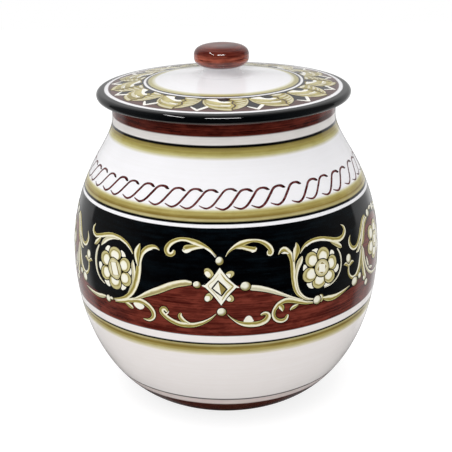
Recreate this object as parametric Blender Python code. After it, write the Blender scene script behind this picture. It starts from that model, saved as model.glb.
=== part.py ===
"""A round-bellied majolica cookie jar with a lift-off lid.

It is turned in three pieces, as a potter makes it: the pot, the lid with the collar that
locates it in the mouth, and the knob that is set on the lid's crown. Each outline is a
half section, run round the jar's axis. Metres, +Z up, standing on Z = 0.
"""

import math

import bmesh
import bpy
from mathutils import Matrix, Vector

# The pot's outer curve, from its foot over the belly to the neck. A pull is how far the
# curve follows its direction at that end before it bends away.
FOOT_RADIUS = 0.0547
HEEL_RISE = math.radians(23.0)
HEEL_PULL = 0.0304
BELLY_RADIUS = 0.1020
BELLY_HEIGHT = 0.0955
BELLY_PULL_DOWN = 0.0445
BELLY_PULL_UP = 0.0571
NECK_RADIUS = 0.0724
NECK_PULL = 0.0201
NECK_STRAIGHT = 0.0107
RIM_HEIGHT = 0.2001

# The pot's wall, its thrown floor and the turned ring it stands on.
POT_WALL = 0.0056
FLOOR_THICKNESS = 0.0060
FOOT_RING_WIDTH = 0.0080
FOOT_RECESS = 0.0014
RIM_ROUNDING = 0.0014

# The lid: a shallow cone with a rolled edge, and a collar that drops into the mouth.
LID_OVERHANG = 0.0096
LID_EDGE_RADIUS = 0.0028
LID_SLOPE = math.radians(7.3)
LID_THICKNESS = 0.0050
COLLAR_WALL = 0.0044
COLLAR_DEPTH = 0.0090
COLLAR_ROUNDING = 0.0012

# The knob: a flattened bun on a short waist, which spreads to a foot on the lid's crown.
KNOB_RADIUS = 0.0176
KNOB_THICKNESS = 0.0152
KNOB_SQUARENESS = 2.9
KNOB_DISH_RADIUS = 0.0085
KNOB_DISH_DEPTH = 0.0006
WAIST_RADIUS = 0.0110
WAIST_HEIGHT = 0.0033
KNOB_FOOT_RADIUS = 0.0160
KNOB_FOOT_EDGE = 0.0007
KNOB_OFF_CENTRE = -0.0010

# Clearances: the air between pieces that touch, and the collar's play in the mouth.
SEAT_GAP = 0.0003
COLLAR_PLAY = 0.0015
CROWN_MARGIN = 0.0012

# How finely the curves are cut. Faces around the axis, and points along a curve.
POT_FACES = 64
LID_FACES = 64
KNOB_FACES = 48
CURVE_POINTS = 11
ROUNDING_POINTS = 4
EDGE_POINTS = 10
KNOB_POINTS = 20

SHARP_ANGLE = math.radians(38.0)
MERGE_DISTANCE = 1e-6

WHITE_GLAZE = (0.87, 0.86, 0.84)
DARK_EDGE = (0.010, 0.013, 0.015)
RED_BROWN = (0.17, 0.040, 0.026)


def bezier(start, start_pull, end_pull, end, count):
    """Points (radius, height) of a cubic curve between two ends."""
    ends = [Vector(point) for point in (start, start_pull, end_pull, end)]
    points = []
    for step in range(count):
        t = step / (count - 1)
        weights = ((1 - t) ** 3, 3 * t * (1 - t) ** 2, 3 * t * t * (1 - t), t ** 3)
        points.append(sum((w * p for w, p in zip(weights, ends)), Vector((0.0, 0.0))))
    return points


def arc(centre, radius, first_angle, last_angle, count):
    """Points (radius, height) on a circle, with its angles in degrees from the outside."""
    points = []
    for step in range(count):
        angle = math.radians(first_angle + (last_angle - first_angle) * step / (count - 1))
        points.append(Vector(centre) + radius * Vector((math.cos(angle), math.sin(angle))))
    return points


def inset(curve, distance):
    """The curve moved to its left, which is inwards on one that runs up the outside."""
    moved = []
    for index, point in enumerate(curve):
        before = curve[max(index - 1, 0)]
        after = curve[min(index + 1, len(curve) - 1)]
        along = (after - before).normalized()
        moved.append(point + distance * Vector((-along.y, along.x)))
    return moved


def glaze(name, colour, roughness):
    """A glazed surface, in one linear colour."""
    material = bpy.data.materials.new(name)
    material.use_nodes = True
    material.diffuse_color = (*colour, 1.0)
    shader = material.node_tree.nodes["Principled BSDF"]
    shader.inputs["Base Color"].default_value = (*colour, 1.0)
    shader.inputs["Roughness"].default_value = roughness
    shader.inputs["Metallic"].default_value = 0.0
    return material


def turn(name, outline, faces, material, axis_x=0.0):
    """One closed body, turned from a half section that starts and ends on the axis."""
    shape = bmesh.new()
    points = [shape.verts.new((radius, 0.0, height)) for radius, height in outline]
    edges = [shape.edges.new(pair) for pair in zip(points, points[1:])]
    bmesh.ops.spin(
        shape,
        geom=points + edges,
        cent=(0.0, 0.0, 0.0),
        axis=(0.0, 0.0, 1.0),
        angle=math.tau,
        steps=faces,
        use_merge=True,
    )
    bmesh.ops.remove_doubles(shape, verts=shape.verts, dist=MERGE_DISTANCE)
    bmesh.ops.recalc_face_normals(shape, faces=shape.faces)
    mesh = bpy.data.meshes.new(name)
    shape.to_mesh(mesh)
    shape.free()
    mesh.shade_smooth()
    mesh.set_sharp_from_angle(angle=SHARP_ANGLE)
    mesh.materials.append(material)
    body = bpy.data.objects.new(name, mesh)
    body.matrix_world = Matrix.Translation((axis_x, 0.0, 0.0))
    bpy.context.scene.collection.objects.link(body)
    return body


def pot_outside():
    """The pot's outer curve, from the foot's edge up to the rim's rounding.

    Under the rim a straight stretch of neck holds the lid's collar.
    """
    neck_height = RIM_HEIGHT - NECK_STRAIGHT
    heel = Vector((math.cos(HEEL_RISE), math.sin(HEEL_RISE))) * HEEL_PULL
    lower = bezier(
        (FOOT_RADIUS, 0.0),
        (FOOT_RADIUS + heel.x, heel.y),
        (BELLY_RADIUS, BELLY_HEIGHT - BELLY_PULL_DOWN),
        (BELLY_RADIUS, BELLY_HEIGHT),
        CURVE_POINTS,
    )
    upper = bezier(
        (BELLY_RADIUS, BELLY_HEIGHT),
        (BELLY_RADIUS, BELLY_HEIGHT + BELLY_PULL_UP),
        (NECK_RADIUS, neck_height - NECK_PULL),
        (NECK_RADIUS, neck_height),
        CURVE_POINTS,
    )
    return lower + upper[1:] + [Vector((NECK_RADIUS, RIM_HEIGHT - RIM_ROUNDING))]


def pot_inside(outside, floor_height):
    """The pot's inner curve, from the edge of its floor up to the rim's rounding."""
    wall = inset(outside, POT_WALL)
    above = [point for point in wall if point.y > floor_height]
    under_floor = wall[len(wall) - len(above) - 1]
    share = (floor_height - under_floor.y) / (above[0].y - under_floor.y)
    return [under_floor.lerp(above[0], share)] + above


def make_pot(material):
    floor_height = FOOT_RECESS + FLOOR_THICKNESS
    recess_radius = FOOT_RADIUS - FOOT_RING_WIDTH
    mouth_radius = NECK_RADIUS - POT_WALL
    rounding_height = RIM_HEIGHT - RIM_ROUNDING
    outside = pot_outside()
    outline = [Vector((0.0, floor_height))]
    outline += pot_inside(outside, floor_height)[:-1]
    outline += arc(
        (mouth_radius + RIM_ROUNDING, rounding_height),
        RIM_ROUNDING,
        180,
        90,
        ROUNDING_POINTS,
    )
    outline += arc(
        (NECK_RADIUS - RIM_ROUNDING, rounding_height),
        RIM_ROUNDING,
        90,
        0,
        ROUNDING_POINTS,
    )
    outline += reversed(outside[:-1])
    outline += [
        Vector((recess_radius + FOOT_RECESS, 0.0)),
        Vector((recess_radius, FOOT_RECESS)),
        Vector((0.0, FOOT_RECESS)),
    ]
    return turn("jar_body", outline, POT_FACES, material)


def crown_radius():
    """The flat on top of the lid that the knob's foot stands on."""
    return KNOB_FOOT_RADIUS + abs(KNOB_OFF_CENTRE) + CROWN_MARGIN


def lid_edge_centre():
    """The radius at which the rolled edge's round section is centred."""
    return NECK_RADIUS + LID_OVERHANG - LID_EDGE_RADIUS


def lid_top(radius):
    """The height of the lid's cone at this radius."""
    seat_height = RIM_HEIGHT + SEAT_GAP
    edge_centre = lid_edge_centre()
    tangent_radius = edge_centre + LID_EDGE_RADIUS * math.sin(LID_SLOPE)
    tangent_height = seat_height + LID_EDGE_RADIUS * (1.0 + math.cos(LID_SLOPE))
    return tangent_height + (tangent_radius - radius) * math.tan(LID_SLOPE)


def make_lid(material):
    seat_height = RIM_HEIGHT + SEAT_GAP
    collar_outer = NECK_RADIUS - POT_WALL - COLLAR_PLAY
    collar_inner = collar_outer - COLLAR_WALL
    collar_low = seat_height - COLLAR_DEPTH
    crown = crown_radius()
    outline = [Vector((0.0, lid_top(crown))), Vector((crown, lid_top(crown)))]
    outline += arc(
        (lid_edge_centre(), seat_height + LID_EDGE_RADIUS),
        LID_EDGE_RADIUS,
        90 - math.degrees(LID_SLOPE),
        -90,
        EDGE_POINTS,
    )
    outline += [Vector((collar_outer, seat_height))]
    outline += arc(
        (collar_outer - COLLAR_ROUNDING, collar_low + COLLAR_ROUNDING),
        COLLAR_ROUNDING,
        0,
        -90,
        ROUNDING_POINTS,
    )
    outline += arc(
        (collar_inner + COLLAR_ROUNDING, collar_low + COLLAR_ROUNDING),
        COLLAR_ROUNDING,
        -90,
        -180,
        ROUNDING_POINTS,
    )
    outline += [
        Vector((collar_inner, lid_top(collar_inner) - LID_THICKNESS)),
        Vector((crown, lid_top(crown) - LID_THICKNESS)),
        Vector((0.0, lid_top(crown) - LID_THICKNESS)),
    ]
    return turn("lid", outline, LID_FACES, material)


def knob_bun(centre_height):
    """The bun's outline, from the centre of its dished top round to its waist."""
    points = []
    waist_share = (WAIST_RADIUS / KNOB_RADIUS) ** KNOB_SQUARENESS
    waist_angle = math.atan2((1.0 - waist_share) ** 0.5, waist_share ** 0.5)
    for step in range(KNOB_POINTS):
        angle = math.pi / 2 - (math.pi / 2 + waist_angle) * step / (KNOB_POINTS - 1)
        across = abs(math.cos(angle)) ** (2.0 / KNOB_SQUARENESS)
        up = math.copysign(abs(math.sin(angle)) ** (2.0 / KNOB_SQUARENESS), angle)
        radius = 0.0 if step == 0 else KNOB_RADIUS * across
        height = centre_height + KNOB_THICKNESS / 2 * up
        if angle > 0 and radius < KNOB_DISH_RADIUS:
            height -= KNOB_DISH_DEPTH * (1.0 - (radius / KNOB_DISH_RADIUS) ** 2)
        points.append(Vector((radius, height)))
    return points


def make_knob(material):
    base = lid_top(crown_radius()) + SEAT_GAP
    bun = knob_bun(base + KNOB_FOOT_EDGE + WAIST_HEIGHT + KNOB_THICKNESS / 2)
    spread = []
    for step in range(1, ROUNDING_POINTS + 1):
        angle = math.pi / 2 * step / ROUNDING_POINTS
        radius = WAIST_RADIUS + (KNOB_FOOT_RADIUS - WAIST_RADIUS) * (1.0 - math.cos(angle))
        height = base + KNOB_FOOT_EDGE + WAIST_HEIGHT * (1.0 - math.sin(angle))
        spread.append(Vector((radius, height)))
    outline = bun + spread + [Vector((KNOB_FOOT_RADIUS, base)), Vector((0.0, base))]
    return turn("knob", outline, KNOB_FACES, material, axis_x=KNOB_OFF_CENTRE)


def main():
    for old in list(bpy.data.objects):
        bpy.data.objects.remove(old, do_unlink=True)
    make_pot(glaze("white_glaze", WHITE_GLAZE, 0.10))
    make_lid(glaze("lid_glaze", DARK_EDGE, 0.12))
    make_knob(glaze("knob_glaze", RED_BROWN, 0.12))


main()
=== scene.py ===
import bisect
import math
import random
from functools import partialmethod

import bmesh
import bpy
from mathutils import Matrix, Vector


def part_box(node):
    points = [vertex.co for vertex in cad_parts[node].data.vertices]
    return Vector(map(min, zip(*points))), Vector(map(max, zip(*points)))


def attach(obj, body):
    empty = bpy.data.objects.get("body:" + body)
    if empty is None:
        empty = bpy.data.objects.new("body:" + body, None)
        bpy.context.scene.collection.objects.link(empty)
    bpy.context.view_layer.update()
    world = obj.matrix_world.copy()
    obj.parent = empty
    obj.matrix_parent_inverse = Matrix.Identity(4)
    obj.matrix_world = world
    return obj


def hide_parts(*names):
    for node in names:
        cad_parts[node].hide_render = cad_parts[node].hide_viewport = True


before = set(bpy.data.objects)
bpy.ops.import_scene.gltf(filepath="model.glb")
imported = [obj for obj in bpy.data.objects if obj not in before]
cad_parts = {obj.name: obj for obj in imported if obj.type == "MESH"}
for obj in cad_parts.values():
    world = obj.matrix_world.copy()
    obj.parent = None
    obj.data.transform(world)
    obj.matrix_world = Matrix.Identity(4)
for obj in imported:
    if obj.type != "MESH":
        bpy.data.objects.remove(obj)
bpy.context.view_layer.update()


# The pot is turned in red clay, dipped in white tin glaze and banded on the wheel with metal
# oxides, so its rings run level and streaky all the way round. One gloss firing melts paint
# and glaze into a single skin; only the ring it stands on is left bare.
MM = 0.001
PAINT_ROOM = 0.24 * MM
POT_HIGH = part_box("jar_body")[1]
BELLY_RADIUS = POT_HIGH.x - PAINT_ROOM
RIM_HEIGHT = POT_HIGH.z
FOOT_RADIUS = 54.7 * MM
HEEL_RISE = math.radians(23.0)
HEEL_PULL = 30.4 * MM
BELLY_HEIGHT = 95.5 * MM
BELLY_PULL_DOWN = 44.5 * MM
BELLY_PULL_UP = 57.1 * MM
NECK_RADIUS = 72.4 * MM - PAINT_ROOM
NECK_PULL = 20.1 * MM
NECK_STRAIGHT = 10.7 * MM
POT_WALL = 5.6 * MM
FLOOR_HEIGHT = 7.4 * MM
FLOOR_CORNER = 2.0 * MM
FOOT_RING_WIDTH = 8.0 * MM
FOOT_RECESS = 1.4 * MM
RIM_ROUNDING = 1.4 * MM
POT_TURNS = 240
POT_STEPS = 46
SHARP_ANGLE = math.radians(40.0)
SAME_PLACE = 1e-7
MAP_MARGIN, CELL_MARGIN, CELL_REACH = 0.01, 0.08, 0.48
PAINTED, BARE_GLAZE, CLAY = range(3)

# Heights in mm up the pot, the dark and the light of each brushed colour, and the band's soft edge.
WHITE = ((242, 241, 243), (245, 244, 247))
LOW_WHITE = ((243, 237, 234), (246, 241, 239))
OLIVE = ((156, 140, 76), (186, 173, 108))
OLIVE_CORE = ((120, 99, 42), (150, 131, 68))
OLIVE_EDGE = ((172, 160, 106), (198, 188, 140))
BLACK = ((4, 4, 4), (13, 14, 14))
MAROON = ((62, 17, 12), (132, 60, 47))
NECK_RED = ((44, 8, 4), (112, 46, 34))
LOWER_BANDS = (
    (0.0, 8.6, ((44, 18, 13), (86, 46, 38)), 0.6),
    (8.6, 17.0, ((66, 30, 22), (92, 48, 38)), 0.5),
    (17.0, 22.2, ((222, 204, 199), (240, 232, 228)), 0.5),
    (22.2, 23.3, ((70, 68, 66), (104, 102, 100)), 0.2),
    (23.3, 61.9, LOW_WHITE, 0.2),
    (61.9, 63.4, ((220, 211, 184), (234, 228, 208)), 0.8),
    (63.4, 64.9, ((180, 168, 116), (206, 198, 154)), 0.8),
    (64.9, 66.5, OLIVE, 0.6),
    (66.5, 68.6, OLIVE_CORE, 0.6),
    (68.6, 69.8, OLIVE_EDGE, 0.4),
    (69.8, 71.0, BLACK, 0.15),
    (71.0, 75.9, LOW_WHITE, 0.12),
    (75.9, 76.7, ((30, 12, 9), (48, 20, 14)), 0.15),
)
UPPER_BANDS = (
    (140.0, 142.0, BLACK, 0.2),
    (142.0, 143.9, WHITE, 0.12),
    (143.9, 145.3, BLACK, 0.12),
    (145.3, 146.5, OLIVE_EDGE, 0.4),
    (146.7, 148.3, OLIVE_CORE, 0.9),
    (148.5, 150.6, OLIVE, 0.5),
    (150.4, 151.8, ((192, 184, 128), (216, 210, 162)), 0.7),
    (151.8, 178.0, WHITE, 0.6),
    (178.2, 180.9, ((180, 171, 108), (206, 199, 144)), 1.3),
    (180.9, 182.5, ((150, 137, 71), (178, 166, 96)), 0.5),
    (182.5, 184.4, ((134, 118, 62), (158, 144, 82)), 0.4),
    (184.4, 186.0, BLACK, 0.15),
    # Painted shade: this white band under the neck's red is greyer than the glaze's white, for the shadow
    # of the lid's overhang.
    (186.0, 190.8, ((224, 219, 215), (235, 231, 228)), 0.15),
    (190.9, 198.7, NECK_RED, 0.5),
    # Painted shade: the rim's white band is greyed for the shadow under the lid's rolled edge.
    (198.7, 205.0, ((168, 146, 142), (216, 196, 194)), 0.2),
)
LOWER_RANGE, UPPER_RANGE = (0.0, 80.0), (140.0, 205.0)
# The black field: near-black paint whose lighter brush streaks are tinted blue-grey as a painted sheen of
# the glaze.
BELT_BLACK_AND_SHEEN = ((1, 1, 2), (9, 18, 23))
BELT_LOW, BELT_HIGH = 76.3, 142.0
BELT_SOFT, HILL_SOFT = 0.1, 0.25
# Places round the jar are in mm of arc from its front, at ARC_RADIUS from its axis. The black
# field meets the maroon one at a height that depends on how far to the side a hill's crest is.
ARC_RADIUS = 100.0
ROUND = math.tau * ARC_RADIUS
HILLS = (-4.0, 244.4, 363.8)
HILL_SIDE = (
    (0, 108.6), (17, 108.4), (27, 105.6), (37, 101.4), (47, 96.5), (56, 92.5), (68, 90.2), (140, 90),
)
MEDALLION_SIDE = ((0, 100), (20, 99), (28, 95), (38, 91.4), (50, 90), (140, 90))
HILL_FOOT, HILL_SPAN, HILL_REACH = 80.0, 40.0, 140.0
MEDALLIONS = (125.0, -143.3)
MEDALLION_GROUND = (23.0, 17.5)
MEDALLION_HEIGHT = 111.0
MEDALLION_EDGE = (1.03, 0.97)
BAND_WAVER = 1.1
GLOSS, CLAY_ROUGHNESS = 0.085, 0.75
GLAZE_IOR = 1.5
CLAY_COLOURS = ((176, 118, 88), (205, 152, 118))


def bezier(start, start_pull, end_pull, end, steps):
    """Points (radius, height) of a cubic curve between two ends."""
    ends = [Vector(point) for point in (start, start_pull, end_pull, end)]
    points = []
    for step in range(steps + 1):
        t = step / steps
        weights = ((1 - t) ** 3, 3 * t * (1 - t) ** 2, 3 * t * t * (1 - t), t ** 3)
        points.append(sum((w * p for w, p in zip(weights, ends)), Vector((0.0, 0.0))))
    return points


def arc(centre, radius, first, last, steps):
    """Points (radius, height) on a circle between two angles in degrees, 0 pointing outwards."""
    turns = [math.radians(first + (last - first) * step / steps) for step in range(steps + 1)]
    return [Vector(centre) + radius * Vector((math.cos(turn), math.sin(turn))) for turn in turns]


def pot_outside():
    """The pot's outer curve, from the foot's edge over the belly to the rim's rounding."""
    heel = Vector((math.cos(HEEL_RISE), math.sin(HEEL_RISE))) * HEEL_PULL
    foot, foot_pull = (FOOT_RADIUS - PAINT_ROOM, 0.0), (FOOT_RADIUS + heel.x, heel.y)
    low_pull, belly, high_pull = (
        (BELLY_RADIUS, BELLY_HEIGHT + pull) for pull in (-BELLY_PULL_DOWN, 0.0, BELLY_PULL_UP)
    )
    neck = RIM_HEIGHT - NECK_STRAIGHT
    lower = bezier(foot, foot_pull, low_pull, belly, POT_STEPS)
    upper = bezier(belly, high_pull, (NECK_RADIUS, neck - NECK_PULL), (NECK_RADIUS, neck), POT_STEPS)
    return lower + upper[1:] + [Vector((NECK_RADIUS, RIM_HEIGHT - RIM_ROUNDING))]


def placed(name, data):
    """A new object in the scene, with this mesh, lamp or camera."""
    thing = bpy.data.objects.new(name, data)
    bpy.context.scene.collection.objects.link(thing)
    return thing


def meshed(name, points, faces, uvs):
    """A mesh and its painted map, which is given corner by corner."""
    mesh = bpy.data.meshes.new(name)
    mesh.from_pydata(points, [], faces)
    layer = mesh.uv_layers.new(name="OFBake")
    layer.data.foreach_set("uv", [number for spot in uvs for number in spot])
    return mesh


def inset(share, margin):
    return margin + (1.0 - 2.0 * margin) * share


def turned(name, runs, turns, materials, centre_x=0.0):
    """A body turned from half outlines that follow each other, each with its finish, which is
    its material's number, and its share of the height of the painted map."""
    points, faces, finishes, uvs, rings = [], [], [], [], []
    start = 0.0
    for run, finish, share in runs:
        run = [Vector(point) for point in run]
        lengths = [0.0]
        for before, after in zip(run, run[1:]):
            lengths.append(lengths[-1] + (after - before).length)
        for point, length in zip(run, lengths):
            if rings and (point - rings[-1][0]).length < SAME_PLACE:
                ring = rings[-1][1]
            elif point.x < SAME_PLACE:
                ring = [len(points)] * turns
                points.append((centre_x, 0.0, point.y))
            else:
                ring = list(range(len(points), len(points) + turns))
                for turn in (math.tau * step / turns for step in range(turns)):
                    x = centre_x + point.x * math.sin(turn)
                    points.append((x, -point.x * math.cos(turn), point.y))
            up = start + share * inset(length / lengths[-1], MAP_MARGIN)
            rings.append((point, ring, finish, up))
        start += share
    for (_, below, finish, low), (_, above, _, high) in zip(rings, rings[1:]):
        for step in range(0 if below is above else turns):
            after = (step + 1) % turns
            left = (step / turns + 0.5) % 1.0
            right = left + 1 / turns
            corners = {below[step]: (left, low)}
            corners.setdefault(below[after], (right, low))
            corners.setdefault(above[after], (right, high))
            corners.setdefault(above[step], (left, high))
            faces.append(list(corners))
            finishes.append(finish)
            uvs += corners.values()
    mesh = meshed(name, points, faces, uvs)
    for material in materials:
        mesh.materials.append(material)
    mesh.polygons.foreach_set("material_index", finishes)
    mesh.shade_smooth()
    mesh.set_sharp_from_angle(angle=SHARP_ANGLE)
    return placed(name, mesh)


def linear(colour):
    """A colour written as 0 to 255 on a screen, as the light that it stands for."""
    shares = [value / 255.0 for value in colour]
    lights = [s / 12.92 if s <= 0.04045 else ((s + 0.055) / 1.055) ** 2.4 for s in shares]
    return (*lights, 1.0)


class Wash:
    """A value or a colour in a node tree. Sums written with washes add their own nodes."""

    def __init__(self, tree, socket=None):
        self.tree = tree
        self.socket = socket

    def node(self, kind, inputs=None, output=0, **settings):
        """Any other node: its type, the values or links of its sockets, and its settings."""
        node = self.tree.nodes.new(kind)
        for name, value in settings.items():
            setattr(node, name, value)
        for name, value in (inputs or {}).items():
            if isinstance(value, Wash):
                self.tree.links.new(value.socket, node.inputs[name])
            else:
                node.inputs[name].default_value = value
        return Wash(self.tree, node.outputs[output])

    def math(self, operation, *others):
        return self.node("ShaderNodeMath", dict(enumerate((self, *others))), operation=operation)

    __add__ = __radd__ = partialmethod(math, "ADD")
    __sub__ = partialmethod(math, "SUBTRACT")
    __mul__ = __rmul__ = partialmethod(math, "MULTIPLY")
    __truediv__ = partialmethod(math, "DIVIDE")
    __pow__ = partialmethod(math, "POWER")

    def __rsub__(self, other):
        return self * -1.0 + other

    def rise(self, low, high):
        """0 below low, 1 above high, with soft ends. It falls where low is above high."""
        inputs = {"Value": self, "From Min": low, "From Max": high}
        if low > high:
            inputs |= {"From Min": high, "From Max": low, "To Min": 1.0, "To Max": 0.0}
        return self.node("ShaderNodeMapRange", inputs, interpolation_type="SMOOTHSTEP")

    def over(self, under, colour):
        """The colour laid over the one under it, as thick as this value."""
        sides = [side if isinstance(side, Wash) else linear(side) for side in (under, colour)]
        return self.node("ShaderNodeMix", {0: self, 6: sides[0], 7: sides[1]}, 2, data_type="RGBA")

    def ramp(self, stops, low, high):
        """The colour at this value on a ramp of stops (value, colour) from low to high."""
        wash = self.node("ShaderNodeValToRGB", {0: (self - low) / (high - low)})
        stops = sorted(((value - low) / (high - low), linear(colour)) for value, colour in stops)
        elements = wash.socket.node.color_ramp.elements
        for position, _ in stops[2:]:
            elements.new(position)
        for element, (position, colour) in zip(elements, stops):
            element.position, element.color = position, colour
        return wash

    def curve(self, points, low, high):
        """The height at this value of a smooth curve through points (value, height)."""
        wash = self.node("ShaderNodeFloatCurve", {"Value": (self - low) / (high - low)})
        mapping = wash.socket.node.mapping
        spots = [((value - low) / (high - low), height) for value, height in points]
        for spot in spots[1:-1]:
            mapping.curves[0].points.new(*spot)
        ends = mapping.curves[0].points
        ends[0].location, ends[-1].location = spots[0], spots[-1]
        mapping.update()
        return wash

    def noise(self, scale, detail=2.0, roughness=0.5):
        """Noise at this place. A scale for each axis draws its pattern out."""
        scales = scale if isinstance(scale, tuple) else (scale, scale, scale)
        spot = self.node("ShaderNodeVectorMath", {0: self, 1: scales}, operation="MULTIPLY")
        inputs = {"Vector": spot, "Scale": 1.0, "Detail": detail, "Roughness": roughness}
        return self.node("ShaderNodeTexNoise", inputs)

    def parts(self):
        return [self.node("ShaderNodeSeparateXYZ", {0: self}, axis) for axis in range(3)]

    def feed(self, name="Base Color", node="Principled BSDF"):
        self.tree.links.new(self.socket, self.tree.nodes[node].inputs[name])


def glaze(name, roughness=GLOSS, ior=GLAZE_IOR):
    """A gloss-fired surface: its material and a place on it in metres."""
    material = bpy.data.materials.new(name)
    material.use_nodes = True
    sockets = material.node_tree.nodes["Principled BSDF"].inputs
    sockets["Roughness"].default_value = roughness
    sockets["IOR"].default_value = ior
    return material, Wash(material.node_tree).node("ShaderNodeTexCoord", output="Object")


def pool(place, scale, depth):
    """Bump the surface with the slight waves that a glaze sets with."""
    bump = {"Strength": 1.0, "Distance": depth, "Height": place.noise(scale)}
    place.node("ShaderNodeBump", bump).feed("Normal")


def banded(height, bands, limits, brush):
    """Soft-edged bands over a height in mm, from dark to light as the brush left its colour."""
    tones = []
    for tone in range(2):
        stops = []
        for low, high, colours, soft in bands:
            stops += [(low + soft, colours[tone]), (high - soft, colours[tone])]
        tones.append(height.ramp(stops, *limits))
    return brush.over(*tones)


def aside_from(around, centre):
    """How far round the jar from a centre, the short way."""
    return (around - centre).math("WRAP", ROUND / 2, -ROUND / 2)


outside = pot_outside()
mouth_radius = NECK_RADIUS + PAINT_ROOM - POT_WALL
rim_turn_height = RIM_HEIGHT - RIM_ROUNDING
recess_radius = FOOT_RADIUS - FOOT_RING_WIDTH
inner_wall = []
for before, point, after in zip(outside, outside[1:], outside[2:]):
    along = (after - before).normalized()
    inner = point + POT_WALL * Vector((-along.y, along.x))
    if FLOOR_HEIGHT < inner.y < rim_turn_height:
        inner_wall.append(inner)
inside = [(0.0, FLOOR_HEIGHT), (inner_wall[0].x - FLOOR_CORNER, FLOOR_HEIGHT)]
inside += inner_wall + arc((mouth_radius + RIM_ROUNDING, rim_turn_height), RIM_ROUNDING, 180, 90, 6)
outer_rim = arc((NECK_RADIUS - RIM_ROUNDING, rim_turn_height), RIM_ROUNDING, 90, 0, 6)
underside = [
    (FOOT_RADIUS - PAINT_ROOM, 0.0), (recess_radius + FOOT_RECESS, 0.0),
    (recess_radius, FOOT_RECESS), (0.0, FOOT_RECESS),
]
pot_runs = (
    (inside, BARE_GLAZE, 0.16),
    (outer_rim + outside[::-1], PAINTED, 0.78),
    (underside, CLAY, 0.06),
)

paint, place = glaze("banded_glaze")
east, north, up = place.parts()
around = ARC_RADIUS * east.math("ARCTAN2", 0.0 - north)
hand = place.noise((14.0, 14.0, 40.0)) - 0.5
height = up / MM + BAND_WAVER * hand
streaks = place.noise((9.0, 9.0, 820.0), 3.0, 0.62).rise(0.38, 0.66)
hairs = place.noise((26.0, 26.0, 2600.0), 2.0, 0.6).rise(0.34, 0.72)
blots = place.noise((70.0, 70.0, 240.0), 4.0, 0.66).rise(0.42, 0.64)
brush = 0.42 * streaks + 0.24 * hairs + 0.34 * blots
smeared = 0.36 * streaks + 0.18 * hairs + 0.46 * blots
lower = banded(height, LOWER_BANDS, LOWER_RANGE, brush)
upper = banded(height, UPPER_BANDS, UPPER_RANGE, brush)
crest_lines = []
for crests, slope in ((HILLS, HILL_SIDE), (MEDALLIONS, MEDALLION_SIDE)):
    nearest, *others = [aside_from(around, crest).math("ABSOLUTE") for crest in crests]
    for other in others:
        nearest = nearest.math("MINIMUM", other)
    side = [(aside, (rise - HILL_FOOT) / HILL_SPAN) for aside, rise in slope]
    crest_lines.append(HILL_FOOT + HILL_SPAN * nearest.curve(side, 0.0, HILL_REACH))
maroon_share = (crest_lines[0].math("MAXIMUM", crest_lines[1]) - height).rise(-HILL_SOFT, HILL_SOFT)
for centre in MEDALLIONS:
    aside = aside_from(around, centre) / MEDALLION_GROUND[0]
    rise = (height - MEDALLION_HEIGHT) / MEDALLION_GROUND[1]
    maroon_share = maroon_share.math("MAXIMUM", (aside * aside + rise * rise).rise(*MEDALLION_EDGE))
# The black field's lighter streaks carry a painted bluish sheen over the brush's own streaks.
belt = maroon_share.over((smeared ** 2.0).over(*BELT_BLACK_AND_SHEEN), smeared.over(*MAROON))
colour = height.rise(BELT_LOW - BELT_SOFT, BELT_LOW + BELT_SOFT).over(lower, belt)
colour = height.rise(BELT_HIGH - BELT_SOFT, BELT_HIGH + BELT_SOFT).over(colour, upper)
colour.feed()
pool(place, 45.0, 0.10 * MM)

white_glaze, place = glaze("tin_glaze")
place.noise(30.0, 3.0).over(*WHITE).feed()
pool(place, 60.0, 0.08 * MM)

clay, place = glaze("bare_clay", CLAY_ROUGHNESS)
place.noise(900.0, 3.0).over(*CLAY_COLOURS).feed()
pool(place, 2200.0, 0.12 * MM)

pot = turned("pot", pot_runs, POT_TURNS, (paint, white_glaze, clay))
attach(pot, "jar")
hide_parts("jar_body")


# The twisted cord on the shoulder: about fifty S strokes of manganese red laid freehand, each
# one starting under the last. Like all the ornament they stand a hair proud of the glaze.
# One stroke's points, mm round from its start, mm up the pot and mm wide, and where those in
# front start.
ROPE_STROKE = (
    (-0.4, 153.7, 0.5), (2.2, 152.75, 0.9), (4.9, 152.3, 1.15), (7.7, 153.25, 1.3), (10.1, 155.05, 1.45),
    (12.5, 157.5, 1.5), (14.4, 159.4, 1.5), (16.4, 161.3, 1.4), (18.7, 162.3, 1.2), (21.3, 162.5, 1.2),
    (22.9, 162.2, 1.5), (24, 161.8, 1.6), (25, 161.45, 1.1), (25.9, 161.25, 0.4),
)
ROPE_FRONT = (
    -117.1, -103.1, -91.6, -77.8, -66.3, -53.8, -41.2, -30.4, -17.3, -6.3, 5.7, 17.8, 31.1, 46.6, 58.1,
    72.5, 84.4, 100.2, 113.3,
)
ROPE_BACK = 30
ROPE_LIFT = 0.05
ROPE_SWAY, ROPE_DROP, ROPE_WEIGHTS = 0.9, 0.35, (0.86, 1.08)
HEAVY_ROPE = (15.0, 50.0, 0.12)
ROPE_RED, ROPE_TAIL = ((70, 24, 27), (116, 66, 66)), (48, 12, 13)
# In mm: how deep a stroke's foot lies in the glaze, how high each level of paint is over the one
# below, how much a stroke's middle stands up, how far apart its points are, and the width over
# which its ends are rounded.
SINK, LEVEL, CROWN, STEP, BLUNT = -0.05, 0.034, 0.012, 0.9, 0.9
TIP_SHARES = (0.35, 0.62, 0.82, 0.94, 0.995)
hand_sway = random.Random(4)

pot_heights = [point.y for point in outside]


def on_pot(around, height, lift):
    """A point on the pot: mm round it, mm up and mm proud."""
    index = min(max(bisect.bisect(pot_heights, height * MM), 1), len(outside) - 1)
    below, above = outside[index - 1], outside[index]
    along = (above - below).normalized()
    share = (height * MM - below.y) / (above.y - below.y)
    spot = below.lerp(above, share) + lift * MM * Vector((along.y, -along.x))
    turn = around / ARC_RADIUS
    return Vector((spot.x * math.sin(turn), -spot.x * math.cos(turn), spot.y))


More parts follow.
